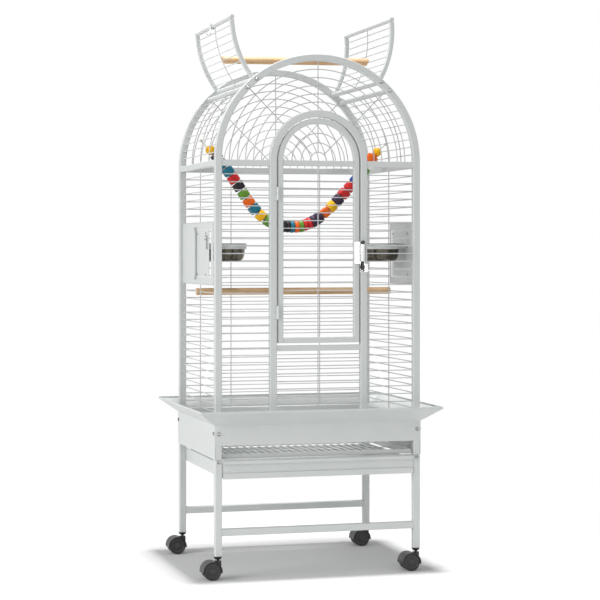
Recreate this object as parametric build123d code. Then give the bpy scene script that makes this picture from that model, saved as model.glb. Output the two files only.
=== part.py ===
from build123d import *
import math
import os

# Bird cage on a wheeled stand, in millimetres and degrees.
# +Z is up, the front faces -Y, and the origin is on the floor under the middle of the cage.

# Frame tube, wire and sheet
frame_width = 620.0
frame_depth = 505.0
tube = 20.0
tube_wall = 1.5
tube_rounding = 2.0
rail = 18.0
wire = 3.0
wire_pitch = 23.0
arc_pitch = 24.5
sheet = 1.5
fit_gap = 0.3
running_gap = 0.05
bolt_diameter = 6.0
bolt_head_diameter = 12.0
bolt_head_height = 4.0
bolt_gap = 0.1

# Heights of the frame above the floor
leg_bottom = 66.0
lower_rail_height = 124.0
lower_rail_size = 20.0
stand_top = 435.0
sill_height = 652.0
sill_size = 16.0
spring_height = 1205.0

# Stand: aprons, runners, tray, grate and seed guard
front_apron_height = 52.0
side_apron_height = 92.0
apron_fold = 14.0
apron_bolt_drop = 18.0
runner_bolt_height = 336.0
runner_bottom = 290.0
runner_height = 40.0
runner_flange = 20.0
tray_sheet = 1.2
tray_wall_height = 34.0
tray_front_drop = 4.5
tray_front_height = 56.5
tray_fold_height = 16.0
tray_fold_depth = 3.0
tray_lip_height = 15.0
tray_lip_depth = 9.0
tray_side_gap = 1.0
tray_back_gap = 12.0
grate_bar = 12.0
grate_side_gap = 2.0
guard_sheet = 1.2
guard_reach = 52.0
guard_rise = 44.0
guard_foot = 6.0
guard_lip = 6.0
mitre_gap = 0.15

# Door in the front panel
jamb_inside = 127.0
door_tube = 16.0
door_gap = 4.0
door_sill_gap = 7.0
hinge_pin = 6.0
hinge_barrel = 10.0
hinge_length = 38.0
hinge_above_sill = 93.0
hinge_below_spring = 116.0
hinge_leaf = 2.0
hinge_leaf_width = 14.0
innermost_arc = 24.5

# Door latch
latch_above_sill = 285.0
latch_inset = 4.0
latch_barrel = 14.0
latch_barrel_length = 50.0
latch_plate_height = 64.0
latch_pin = 6.0
latch_tip = 5.0
latch_tip_length = 8.0
latch_knob = 9.5
latch_knob_length = 10.0
latch_travel = 12.0
keeper_thickness = 3.0
keeper_slot = 6.4
keeper_prong = 3.6
keeper_reach = 5.0
keeper_plate_height = 24.0

# Roof: fixed cross bars and flaps that stand open
cross_bar_angle = 44.0
cross_bar = 15.0
flap_angle = 51.0
flap_end_angle = 88.2
flap_open_left = 90.0
flap_open_right = 82.0
flap_wires = 8
flap_side_bar = 12.0
flap_top_bar = 13.0
flap_end_gap = 0.5
flap_pin_depth = 15.0
perch_wire_index = 3
hook_wire = 3.0
hook_shank_diameter = 3.6
hook_shank = 20.0
hook_bend = 6.0
hook_offset = 12.0

# Perches
top_perch_diameter = 22.0
top_perch_offset = -18.0
top_perch_overhang = 1.5
low_perch_diameter = 21.0
low_perch_offset = 18.0
low_perch_below_bowl = 85.0
perch_past_wire = 6.0

# Swing-out feeders in the two side panels
feeder_below_rim = 120.0
feeder_above_rim = 50.0
feeder_border = 20.0
feeder_window = 200.0
feeder_pin = 4.0
feeder_barrel = 9.0
feeder_lug = 9.0
feeder_pin_inset = 6.0
feeder_edge_gap = 1.0
left_plate_front = -185.0
left_window_back = 45.0
left_finger_gap = 25.0
left_bowl_place = -30.0
right_window_front = -216.0
right_finger_gap = 10.0
right_bowl_place = -116.0
bowl_rim_diameter = 128.0
bowl_body_diameter = 120.0
bowl_foot_diameter = 96.0
bowl_height = 55.0
bowl_wall = 1.2
bowl_rim_height = 965.0
bowl_inset = 72.0
bowl_ring_width = 3.0
bowl_ring_height = 16.0
bowl_ring_gap = 0.6
bowl_arm = 5.0
knob_diameter = 14.0
knob_height = 7.0
knob_lever = 34.0
knob_lever_width = 8.0
knob_inset = 24.0

# Casters
wheel_diameter = 50.0
wheel_width = 21.0
wheel_rounding = 3.0
wheel_gap = 0.6
caster_web = 7.0
caster_trail = 20.0
hood_gap = 1.0
hood_wall = 2.5
hood_below_axle = 4.0
boss_diameter = 20.0
stem_diameter = 8.0
stem_length = 40.0
axle_diameter = 6.0
socket_height = 8.0
socket_neck = 17.0
socket_flare = 26.0
socket_plug_length = 30.0
socket_plug_gap = 0.1

# Toy: painted blocks on a cord that hangs from the roof wires. X and Z of each point.
toy_plane = 12.0
toy_cord = 3.0
toy_bore_gap = 0.8
toy_route = [
    (-289.8, 1269.6), (-268.5, 1250.0), (-245.0, 1226.5), (-221.5, 1199.0), (-199.0, 1169.5),
    (-178.0, 1140.0), (-158.0, 1110.0), (-137.0, 1080.5), (-113.0, 1053.0), (-83.0, 1031.0),
    (-47.0, 1018.5), (-8.0, 1014.5), (31.0, 1019.5), (67.0, 1036.0), (98.0, 1060.5),
    (126.0, 1086.5), (152.0, 1114.5), (177.5, 1141.5), (202.0, 1168.0), (224.0, 1196.0),
    (243.0, 1224.5), (264.0, 1249.5), (289.3, 1270.0),
]
toy_ball = 30.0
toy_blocks = 27
toy_disc = 36.0
toy_cube = 29.0
toy_block_length = 22.0
toy_tie = 9.0
chain_wire = 2.4
chain_link_length = 22.0
chain_link_width = 11.0
chain_links = 5
chain_place = 24
toy_bare_places = (23, 24)
toy_end_share = 0.045
arc_share = 0.45

# Faces and centre lines that the pieces share
post_x = (frame_width - tube) / 2
post_y = (frame_depth - tube) / 2
inner_x = post_x - tube / 2
inner_y = post_y - tube / 2
outer_x = frame_width / 2
outer_y = frame_depth / 2
arch_radius = post_x
rail_low = stand_top
wire_low = rail_low + rail
wire_high = spring_height - rail
jamb_outside = jamb_inside + tube
door_outside = jamb_inside - door_gap
door_inside = door_outside - door_tube
door_bottom = sill_height + sill_size + door_sill_gap
hinge_heights = (sill_height + hinge_above_sill, spring_height - hinge_below_spring)
latch_height = sill_height + latch_above_sill
low_perch_height = bowl_rim_height - bowl_height - low_perch_below_bowl
radial_angles = (45.0, 90.0, 135.0)
sector_angles = (0.0, 45.0, 90.0, 135.0, 180.0)
axle_height = wheel_diameter / 2

nodes = {}


def add(name, *solids):
    """Put solids into the named node."""
    nodes.setdefault(name, []).extend(solids)


def block(x, y, z):
    """Solid block between pairs of X, Y and Z."""
    middle = [(low + high) / 2 for low, high in (x, y, z)]
    size = [high - low for low, high in (x, y, z)]
    return Pos(*middle) * Box(*size)


def span(middle, size):
    """Pair of limits about a middle."""
    return (middle - size / 2, middle + size / 2)


def square_tube(x, y, z, along):
    """Hollow square tube with rounded corners, open at both ends along 'x', 'y' or 'z'."""
    limits = {"x": x, "y": y, "z": z}
    bore = {
        axis: pair if axis == along else (pair[0] + tube_wall, pair[1] - tube_wall)
        for axis, pair in limits.items()
    }
    directions = {"x": Axis.X, "y": Axis.Y, "z": Axis.Z}
    outside = block(x, y, z)
    outside = fillet(outside.edges().filter_by(directions[along]), tube_rounding)
    return outside - block(bore["x"], bore["y"], bore["z"])


def rod(start, end, diameter=wire):
    """Round rod between two points."""
    start = Vector(*start)
    run = Vector(*end) - start
    return Solid.make_cylinder(diameter / 2, run.length, Plane(origin=start, z_dir=run))


def on_arch(angle, radius, y):
    """Point on a circle about the roof's centre line, with the angle counted up from +X."""
    turn = math.radians(angle)
    return (radius * math.cos(turn), y, spring_height + radius * math.sin(turn))


def arc_rod(radius, start, end, y, diameter=wire):
    """Round rod bent along a circle about the roof's centre line."""
    turn = math.radians(start)
    frame = Plane(origin=(0, y, spring_height), x_dir=(math.cos(turn), 0, math.sin(turn)), z_dir=(0, -1, 0))
    return Solid.make_torus(radius, diameter / 2, frame, 0, 360, end - start)


def arc_bar(radius, start, end, y, size):
    """Square bar bent along a circle about the roof's centre line."""
    roof_axis = Axis((0, 0, spring_height), (0, -1, 0))
    section = Pos(radius, y, spring_height) * RectangleRounded(size, size, tube_rounding)
    return revolve(section, roof_axis, end - start).rotate(roof_axis, start)


def arch_tube(inside, outside, y, depth):
    """Half round of square tube that stands on the spring line."""
    middle = (inside + outside) / 2
    profile = Pos(middle, y, spring_height) * (
        RectangleRounded(outside - inside, depth, tube_rounding)
        - Rectangle(outside - inside - 2 * tube_wall, depth - 2 * tube_wall)
    )
    return revolve(profile, Axis((0, 0, spring_height), (0, -1, 0)), 180)


def spaced(low, high, pitch):
    """Even places strictly between two limits, as near to the pitch as they fit."""
    gaps = max(1, round((high - low) / pitch))
    return [low + (high - low) * i / gaps for i in range(1, gaps)]


def bolt(seat, outward, length):
    """Round-headed bolt whose head sits on a face and whose shank runs inwards."""
    seat = Vector(*seat)
    outward = Vector(*outward)
    head = rod(seat, seat + outward * bolt_head_height, bolt_head_diameter)
    return head + rod(seat, seat - outward * length, bolt_diameter)


def bolt_hole(seat, outward, length):
    """Clearance hole for such a bolt."""
    seat = Vector(*seat)
    outward = Vector(*outward)
    return rod(seat + outward * bolt_head_height, seat - outward * length, bolt_diameter + 2 * bolt_gap)


wire_levels = spaced(wire_low, wire_high, wire_pitch)
corners = {
    "front_left": (-1, -1),
    "front_right": (1, -1),
    "back_left": (-1, 1),
    "back_right": (1, 1),
}

# Legs, with holes for the bolts that hold the aprons and runners
apron_bolt_height = stand_top - apron_bolt_drop
shank = 2 * sheet + 2 * tube_wall
for name, (side, face) in corners.items():
    leg = square_tube(span(side * post_x, tube), span(face * post_y, tube), (leg_bottom, stand_top), "z")
    seats = [
        ((side * post_x, face * (outer_y + sheet), apron_bolt_height), (0, face, 0)),
        ((side * (outer_x + sheet), face * post_y, apron_bolt_height), (side, 0, 0)),
        ((side * post_x, face * outer_y, runner_bolt_height), (0, face, 0)),
    ]
    for seat, outward in seats:
        leg -= bolt_hole(seat, outward, shank)
        add("frame_bolts", bolt(seat, outward, shank))
    add("legs", leg)

# Lower rails join the legs at the front and the back
for face in (-1, 1):
    low_rail = square_tube(
        (-inner_x, inner_x),
        span(face * post_y, lower_rail_size),
        (lower_rail_height, lower_rail_height + lower_rail_size),
        "x",
    )
    add("lower_rails", low_rail)


def flat_apron(face, height):
    """Sheet across the front or back of the legs, folded in along its lower edge."""
    low = stand_top - height
    skin = block((-outer_x, outer_x), sorted((face * outer_y, face * (outer_y + sheet))), (low, stand_top))
    fold_y = sorted((face * outer_y, face * (outer_y - apron_fold)))
    fold = block((-inner_x + fit_gap, inner_x - fit_gap), fold_y, (low, low + sheet))
    apron = skin + fold
    for side in (-1, 1):
        apron -= bolt_hole((side * post_x, face * (outer_y + sheet), apron_bolt_height), (0, face, 0), shank)
    return apron


def side_apron(side):
    """Sheet along one side, folded in under the grate between the legs."""
    low = stand_top - side_apron_height
    skin = block(sorted((side * outer_x, side * (outer_x + sheet))), (-outer_y, outer_y), (low, stand_top))
    ledge_x = sorted((side * outer_x, side * (inner_x - runner_flange)))
    ledge = block(ledge_x, (-inner_y + fit_gap, inner_y - fit_gap), (low, low + sheet))
    apron = skin + ledge
    for face in (-1, 1):
        apron -= bolt_hole((side * (outer_x + sheet), face * post_y, apron_bolt_height), (side, 0, 0), shank)
    return apron


add("apron_front", flat_apron(-1, front_apron_height))
add("apron_back", flat_apron(1, side_apron_height))
for side in (-1, 1):
    add("side_aprons", side_apron(side))
ledge_top = stand_top - side_apron_height + sheet

# Angle runners on the inner faces of the legs carry the tray
for side in (-1, 1):
    upright_x = sorted((side * inner_x, side * (inner_x - sheet)))
    flange_x = sorted((side * inner_x, side * (inner_x - runner_flange)))
    runner_y = (-outer_y + tray_sheet + fit_gap, outer_y)
    upright = block(upright_x, runner_y, (runner_bottom, runner_bottom + runner_height))
    flange = block(flange_x, runner_y, (runner_bottom, runner_bottom + sheet))
    add("tray_runners", upright + flange)

# Tray: a shallow sheet box with a folded front
tray_half = inner_x - sheet - tray_side_gap
tray_floor = runner_bottom + sheet + fit_gap
tray_back = inner_y - tray_back_gap
tray_front = -outer_y
tray_top = tray_floor + tray_wall_height
tray_box = block((-tray_half, tray_half), (tray_front, tray_back), (tray_floor, tray_top))
tray_room = block(
    (-tray_half + tray_sheet, tray_half - tray_sheet),
    (tray_front + tray_sheet, tray_back - tray_sheet),
    (tray_floor + tray_sheet, tray_top),
)
front_low = tray_floor - tray_front_drop
front_high = front_low + tray_front_height
lip_low = front_high - tray_lip_height
front_face = block((-tray_half, tray_half), (tray_front, tray_front + tray_sheet), (front_low, front_high))
front_fold = block(
    (-tray_half, tray_half),
    (tray_front - tray_fold_depth, tray_front),
    (front_low, front_low + tray_fold_height),
)
lip_outline = Polyline(
    (tray_front, lip_low),
    (tray_front - tray_lip_depth, lip_low + tray_sheet),
    (tray_front - tray_lip_depth, lip_low + 2 * tray_lip_height / 3),
    (tray_front, front_high),
    close=True,
)
lip_plane = Plane(origin=(-tray_half, 0, 0), x_dir=(0, 1, 0), z_dir=(1, 0, 0))
front_lip = extrude(lip_plane * make_face(lip_outline), 2 * tray_half)
add("tray", tray_box - tray_room + front_face + front_fold + front_lip)

# Grate: a frame of bars with wires from front to back, lying on the side aprons' ledges
grate_half = inner_x - sheet - grate_side_gap
grate_z = (ledge_top + fit_gap, ledge_top + fit_gap + grate_bar)
grate_front = -inner_y - tube / 2
grate_back = tray_back
for y in (grate_front, grate_back - grate_bar):
    add("grate", block((-grate_half, grate_half), (y, y + grate_bar), grate_z))
for side in (-1, 1):
    bar_x = sorted((side * grate_half, side * (grate_half - grate_bar)))
    add("grate", block(bar_x, (grate_front + grate_bar, grate_back - grate_bar), grate_z))
grate_wire_z = sum(grate_z) / 2
for x in spaced(-grate_half + grate_bar, grate_half - grate_bar, wire_pitch):
    ends = (grate_front + grate_bar, grate_back - grate_bar)
    add("grate", rod((x, ends[0], grate_wire_z), (x, ends[1], grate_wire_z)))
for y in spaced(grate_front + grate_bar, grate_back - grate_bar, (grate_back - grate_front) / 3):
    cross_z = grate_wire_z - wire
    ends = grate_half - grate_bar
    add("grate", rod((-ends, y, cross_z), (ends, y, cross_z)))


def seed_guard(half_length, start):
    """Flared sheet along the front edge of the frame, with mitred ends and a turned-up lip."""
    foot = stand_top + guard_foot
    rim = stand_top + guard_rise
    lean = math.hypot(guard_reach, guard_rise - guard_foot)
    thick_z = guard_sheet * lean / guard_reach
    reach = start + guard_reach
    outline = Polyline(
        (start, stand_top),
        (start + guard_sheet, stand_top),
        (start + guard_sheet, foot),
        (reach + guard_sheet, rim),
        (reach + guard_sheet, rim + guard_lip),
        (reach, rim + guard_lip),
        (reach, rim + thick_z / 2),
        (start, foot + thick_z / 2),
        close=True,
    )
    length = half_length + guard_reach + guard_sheet
    profile_plane = Plane(origin=(-length, 0, 0), x_dir=(0, -1, 0), z_dir=(-1, 0, 0))
    strip = extrude(profile_plane * make_face(outline), -2 * length)
    far = reach + 2 * guard_sheet
    spread = far - start
    plan = Polyline(
        (-half_length + mitre_gap, -start),
        (-half_length - spread + mitre_gap, -far),
        (half_length + spread - mitre_gap, -far),
        (half_length - mitre_gap, -start),
        close=True,
    )
    cutter_height = guard_rise + guard_lip + 2 * guard_foot
    cutter = Pos(0, 0, stand_top - guard_foot) * extrude(make_face(plan), cutter_height)
    return strip & cutter


long_guard = seed_guard(outer_x, outer_y)
short_guard = seed_guard(outer_y, outer_x)
add("seed_guard_front", long_guard)
add("seed_guard_back", Rot(0, 0, 180) * long_guard)
add("seed_guard_left", Rot(0, 0, -90) * short_guard)
add("seed_guard_right", Rot(0, 0, 90) * short_guard)

# Corner posts and the rails between them
for side, face in corners.values():
    post = square_tube(span(side * post_x, tube), span(face * post_y, tube), (stand_top, spring_height), "z")
    add("corner_posts", post)
bottom_z = (rail_low, rail_low + rail)
spring_z = (spring_height - rail, spring_height)
for face in (-1, 1):
    add("cage_rails", square_tube((-inner_x, inner_x), span(face * post_y, rail), bottom_z, "x"))
for side in (-1, 1):
    for rail_z in (bottom_z, spring_z):
        add("cage_rails", square_tube(span(side * post_x, rail), (-inner_y, inner_y), rail_z, "y"))
    front_x = sorted((side * jamb_outside, side * inner_x))
    add("cage_rails", square_tube(front_x, span(-post_y, rail), spring_z, "x"))
add("cage_rails", square_tube((-inner_x, inner_x), span(post_y, rail), spring_z, "x"))

# Front and back arches, drilled for the cross bars and the flap pivots
roof_bolt_length = tube + flap_end_gap + flap_pin_depth
for face, name in ((-1, "front_arch"), (1, "back_arch")):
    arch = arch_tube(inner_x, outer_x, face * post_y, tube)
    for angle in (cross_bar_angle, flap_angle, 180 - flap_angle, 180 - cross_bar_angle):
        seat = on_arch(angle, arch_radius, face * outer_y)
        arch -= bolt_hole(seat, (0, face, 0), tube + bolt_gap)
        add("frame_bolts", bolt(seat, (0, face, 0), roof_bolt_length))
    add(name, arch)

# Door opening: jambs, their arch and the sill
for side in (-1, 1):
    jamb_x = span(side * (jamb_inside + tube / 2), tube)
    add("door_jambs", square_tube(jamb_x, span(-post_y, tube), (wire_low, spring_height), "z"))
add("door_jambs", arch_tube(jamb_inside, jamb_outside, -post_y, tube))
sill_z = (sill_height, sill_height + sill_size)
add("cage_rails", square_tube((-jamb_inside, jamb_inside), span(-post_y, sill_size), sill_z, "x"))

# Front panel wires: two bays beside the jambs and the field below the sill
front_inside = -post_y + wire
for z in wire_levels:
    for side in (-1, 1):
        add("front_wires", rod((side * jamb_outside, -post_y, z), (side * inner_x, -post_y, z)))
for z in spaced(wire_low, sill_height, wire_pitch):
    add("front_wires", rod((-jamb_inside, -post_y, z), (jamb_inside, -post_y, z)))
add("front_wires", rod((0, front_inside, wire_low), (0, front_inside, sill_height)))

# Back panel wires
back_inside = post_y - wire
for z in wire_levels:
    add("back_wires", rod((-inner_x, post_y, z), (inner_x, post_y, z)))
for x in spaced(-inner_x, inner_x, inner_x / 2):
    add("back_wires", rod((x, back_inside, wire_low), (x, back_inside, wire_high)))


def arch_wires(name, y, inside, radii, inner, outer):
    """Concentric wires in sectors, with radial wires laid against their inner side."""
    for radius in radii:
        for start, end in zip(sector_angles, sector_angles[1:]):
            add(name, arc_rod(radius, start, end, y))
    for angle in radial_angles:
        add(name, rod(on_arch(angle, inner, inside), on_arch(angle, outer, inside)))


front_radii = spaced(jamb_outside, inner_x, arc_pitch)
back_radii = [innermost_arc] + spaced(innermost_arc, inner_x, arc_pitch)
arch_wires("front_wires", -post_y, front_inside, front_radii, jamb_outside, inner_x)
arch_wires("back_wires", post_y, back_inside, back_radii, innermost_arc, inner_x)

# Fixed roof on both sides: cross bars, straight wires and bent wires under them
bent_radius = arch_radius - wire
bent_end = cross_bar_angle - math.degrees(cross_bar / 2 / bent_radius)
roof_angles = spaced(0, cross_bar_angle, math.degrees(wire_pitch / arch_radius))
for side in (-1, 1):
    bar_angle = cross_bar_angle if side > 0 else 180 - cross_bar_angle
    bar = rod(on_arch(bar_angle, arch_radius, -inner_y), on_arch(bar_angle, arch_radius, inner_y), cross_bar)
    for face in (-1, 1):
        bar -= bolt_hole(on_arch(bar_angle, arch_radius, face * inner_y), (0, face, 0), roof_bolt_length)
    add("roof_cross_bars", bar)
    for angle in roof_angles:
        place = angle if side > 0 else 180 - angle
        start = on_arch(place, arch_radius, -inner_y)
        add("roof_wires", rod(start, on_arch(place, arch_radius, inner_y)))
    for y in spaced(-inner_y, inner_y, inner_y / 2):
        for start, end in ((0, bent_end / 2), (bent_end / 2, bent_end)):
            limits = (start, end) if side > 0 else (180 - end, 180 - start)
            add("roof_wires", arc_rod(bent_radius, *limits, y))


def closed_flap():
    """Right-hand roof flap in its shut place, from the pivot up to the crest."""
    half = inner_y - flap_end_gap
    pivot = rod(on_arch(flap_angle, arch_radius, -half), on_arch(flap_angle, arch_radius, half), cross_bar)
    bore = bolt_diameter + 2 * running_gap
    for face in (-1, 1):
        outer_end = on_arch(flap_angle, arch_radius, face * half)
        inner_end = on_arch(flap_angle, arch_radius, face * (half - flap_pin_depth - fit_gap))
        pivot -= rod(outer_end, inner_end, bore)
    top_ends = [on_arch(flap_end_angle, arch_radius, y) for y in (-half, half)]
    top = rod(*top_ends, flap_top_bar)
    first = flap_angle + math.degrees(cross_bar / 2 / arch_radius)
    last = flap_end_angle - math.degrees(flap_top_bar / 2 / arch_radius)
    pieces = [pivot, top]
    side_y = half - flap_side_bar / 2
    for face in (-1, 1):
        pieces.append(arc_bar(arch_radius, first, last, face * side_y, flap_side_bar))
    wire_end = side_y - flap_side_bar / 2
    for angle in flap_wire_angles:
        pieces.append(rod(on_arch(angle, arch_radius, -wire_end), on_arch(angle, arch_radius, wire_end)))
    pieces.append(arc_rod(bent_radius, first, last, 0))
    return pieces


def opened(shape, side, angle):
    """Turn a right-hand flap's piece open about its pivot, and mirror it for the left."""
    pivot = on_arch(flap_angle, arch_radius, 0)
    turned = shape.rotate(Axis(pivot, (0, 1, 0)), angle)
    return turned if side > 0 else turned.mirror(Plane.YZ)


def opened_point(angle, side, open_angle):
    """X and Z of a point of the open flap, from its angle on the shut roof."""
    pivot = on_arch(flap_angle, arch_radius, 0)
    point = on_arch(angle, arch_radius, 0)
    turn = math.radians(open_angle)
    along = point[0] - pivot[0]
    up = point[2] - pivot[2]
    x = pivot[0] + along * math.cos(turn) + up * math.sin(turn)
    z = pivot[2] - along * math.sin(turn) + up * math.cos(turn)
    return side * x, z


flap_step = (flap_end_angle - flap_angle) / (flap_wires + 1)
flap_wire_angles = [flap_angle + flap_step * (i + 1) for i in range(flap_wires)]
flap_openings = {-1: flap_open_left, 1: flap_open_right}
for side, name in ((-1, "flap_left"), (1, "flap_right")):
    for piece in closed_flap():
        add(name, opened(piece, side, flap_openings[side]))

# Hook that hangs on the left flap's top bar
hook_x, hook_z = opened_point(flap_end_angle, -1, flap_open_left)
hook_ring = flap_top_bar / 2 + fit_gap + hook_wire / 2
ring_plane = Plane(origin=(hook_x, hook_offset, hook_z), x_dir=(-1, 0, 0), z_dir=(0, -1, 0))
hook = Solid.make_torus(hook_ring, hook_wire / 2, ring_plane)
shank_x = hook_x - hook_ring
shank_end = hook_z - hook_shank
hook += rod((shank_x, hook_offset, hook_z), (shank_x, hook_offset, shank_end), hook_shank_diameter)
bend_plane = Plane(origin=(shank_x - hook_bend, hook_offset, shank_end), x_dir=(-1, 0, 0), z_dir=(0, -1, 0))
hook += Solid.make_torus(hook_bend, hook_wire / 2, bend_plane, 0, 360, 180)
add("flap_hook", hook)

# Top perch: a dowel with a half-round tongue at each end that lies on one wire of an open flap
rest_angle = flap_wire_angles[perch_wire_index]
lap_ends = []
for side in (-1, 1):
    x, z = opened_point(rest_angle, side, flap_openings[side])
    lap_ends.append((x, z + wire / 2 + fit_gap))
slope = (lap_ends[1][1] - lap_ends[0][1]) / (lap_ends[1][0] - lap_ends[0][0])
tips = []
for (x, z), side in zip(lap_ends, (-1, 1)):
    tips.append((x + side * top_perch_overhang, top_perch_offset, z + side * slope * top_perch_overhang))
perch = rod(tips[0], tips[1], top_perch_diameter)
for (x, z), side in zip(lap_ends, (-1, 1)):
    end_x = sorted((x - side * wire, x + side * (wire + top_perch_overhang)))
    end_y = span(top_perch_offset, 2 * top_perch_diameter)
    add("top_perch", perch & block(end_x, end_y, (z, z + top_perch_diameter)))
    perch -= block(end_x, end_y, span(z, 2 * top_perch_diameter))
add("top_perch", perch)

# Lower perch: slots in its ends take a wire of each side panel
low_perch_z = min(wire_levels, key=lambda z: abs(z - low_perch_height))
low_half = post_x + perch_past_wire
low_ends = [(x, low_perch_offset, low_perch_z) for x in (-low_half, low_half)]
low_perch = rod(*low_ends, low_perch_diameter)
for side in (-1, 1):
    slot_x = sorted((side * (post_x - wire / 2 - bolt_gap), side * (low_half + wire)))
    slot_y = span(low_perch_offset, 2 * low_perch_diameter)
    low_perch -= block(slot_x, slot_y, span(low_perch_z, wire + 2 * bolt_gap))
add("lower_perch", low_perch)

# Door frame, wires and hinges
for side in (-1, 1):
    stile_x = span(side * (door_outside - door_tube / 2), door_tube)
    add("door_stiles", square_tube(stile_x, span(-post_y, door_tube), (door_bottom, spring_height), "z"))
add("door_arch", arch_tube(door_inside, door_outside, -post_y, door_tube))
for low in (door_bottom, spring_height - door_tube):
    rail_z = (low, low + door_tube)
    add("door_rails", square_tube((-door_inside, door_inside), span(-post_y, door_tube), rail_z, "x"))
door_wire_z = (door_bottom + door_tube, spring_height - door_tube)
for z in spaced(*door_wire_z, wire_pitch):
    add("door_wires", rod((-door_inside, -post_y, z), (door_inside, -post_y, z)))
add("door_wires", rod((0, front_inside, door_wire_z[0]), (0, front_inside, door_wire_z[1])))
door_radii = [innermost_arc] + spaced(innermost_arc, door_inside, arc_pitch)
arch_wires("door_wires", -post_y, front_inside, door_radii, innermost_arc, door_inside)

hinge_x = -(jamb_inside + door_outside) / 2
hinge_y = -outer_y - hinge_barrel / 2
half_hinge = hinge_length / 2
door_face = -post_y - door_tube / 2
for z in hinge_heights:
    middle = z + half_hinge
    barrel = rod((hinge_x, hinge_y, z), (hinge_x, hinge_y, middle - fit_gap), hinge_barrel)
    pin = rod((hinge_x, hinge_y, middle - fit_gap), (hinge_x, hinge_y, z + hinge_length), hinge_pin)
    leaf_x = (hinge_x - hinge_leaf_width, hinge_x)
    leaf = block(leaf_x, (-outer_y - hinge_leaf, -outer_y), (z, middle - fit_gap))
    add("hinge_barrels", barrel + pin + leaf)
    knuckle = rod((hinge_x, hinge_y, middle), (hinge_x, hinge_y, z + hinge_length), hinge_barrel)
    leaf_x = (hinge_x, hinge_x + hinge_leaf_width)
    door_leaf = block(leaf_x, (hinge_y + hinge_barrel / 4, door_face), (middle, z + hinge_length))
    bore = rod((hinge_x, hinge_y, middle), (hinge_x, hinge_y, z + hinge_length), hinge_pin + 2 * running_gap)
    add("door_knuckles", knuckle + door_leaf - bore)

# Door latch: a bolt that lifts in a barrel beside the stile, and a fork on the jamb, open to the front
latch_x = jamb_inside + latch_inset
latch_back = -outer_y - bolt_gap - fit_gap - fit_gap
latch_y = latch_back - sheet - latch_barrel / 2
barrel_z = span(latch_height, latch_barrel_length)
latch_z = span(latch_height, latch_plate_height)
add("latch_body", block((door_inside, door_outside), (latch_back, door_face), latch_z))
plate = block((door_inside, latch_x + latch_barrel / 2), (latch_back - sheet, latch_back), latch_z)
barrel = rod((latch_x, latch_y, barrel_z[0]), (latch_x, latch_y, barrel_z[1]), latch_barrel)
web = block(span(latch_x, latch_barrel / 2), (latch_y, latch_back - sheet), barrel_z)
bore = rod((latch_x, latch_y, barrel_z[0]), (latch_x, latch_y, barrel_z[1]), latch_pin + 2 * running_gap)
add("latch_body", plate + barrel + web - bore)
knob_top = barrel_z[0] - latch_travel - fit_gap
knob_bottom = knob_top - latch_knob_length
bolt_tip = knob_bottom - latch_tip_length
latch_bolt = rod((latch_x, latch_y, knob_top), (latch_x, latch_y, barrel_z[1] + fit_gap), latch_pin)
for low in (knob_bottom, barrel_z[1] + fit_gap):
    latch_bolt += rod((latch_x, latch_y, low), (latch_x, latch_y, low + latch_knob_length), latch_knob)
latch_bolt += rod((latch_x, latch_y, bolt_tip), (latch_x, latch_y, knob_bottom), latch_tip)
add("latch_bolt", latch_bolt)
prong_low = bolt_tip + latch_tip_length / 4
prong_z = (prong_low, prong_low + keeper_thickness)
prong_y = (latch_y - keeper_reach, -outer_y - sheet)
slot_x = span(latch_x, keeper_slot)
keeper_left = slot_x[0] - keeper_prong
keeper_z = (latch_z[0] - fit_gap - keeper_plate_height, latch_z[0] - fit_gap)
add("latch_keeper", block((keeper_left, jamb_outside), (-outer_y - sheet, -outer_y), keeper_z))
add("latch_keeper", block((keeper_left, slot_x[0]), prong_y, prong_z))
add("latch_keeper", block((slot_x[1], jamb_outside), prong_y, prong_z))

# Feeders: a fixed plate with a window, a door that swings out on a pin, a ring and a bowl
plate_low = min(wire_levels, key=lambda z: abs(z - bowl_rim_height + feeder_below_rim))
plate_high = min(wire_levels, key=lambda z: abs(z - bowl_rim_height - feeder_above_rim))
plate_z = (plate_low + wire / 2, plate_high - wire / 2)
window_z = (plate_z[0] + feeder_border, plate_z[1] - feeder_border)
right_plate_back = -wire
feeders = {
    "left": {
        "side": -1,
        "plate": (left_plate_front, inner_y),
        "hinge_edge": left_window_back,
        "towards_free": -1,
        "finger_gap": left_finger_gap,
        "bowl": left_bowl_place,
    },
    "right": {
        "side": 1,
        "plate": (-inner_y, right_plate_back),
        "hinge_edge": right_window_front,
        "towards_free": 1,
        "finger_gap": right_finger_gap,
        "bowl": right_bowl_place,
    },
}
feeder_pin_x = post_x + sheet / 2 + feeder_barrel / 2 - sheet / 3
plate_face = post_x + sheet / 2


def feeder_frame(side, plate, hinge_edge, towards_free):
    """Fixed plate with its window, and the two lugs that hold the hinge pin."""
    free_edge = hinge_edge + towards_free * feeder_window
    plate_x = span(side * post_x, sheet)
    frame = block(plate_x, plate, plate_z) - block(plate_x, sorted((hinge_edge, free_edge)), window_z)
    pin_y = hinge_edge + towards_free * feeder_pin_inset
    lug_x = sorted((side * plate_face, side * (feeder_pin_x + feeder_lug / 2)))
    for low in (window_z[0] - feeder_lug, window_z[1]):
        frame += block(lug_x, span(pin_y, feeder_lug), (low, low + feeder_lug))
    return frame


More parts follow.
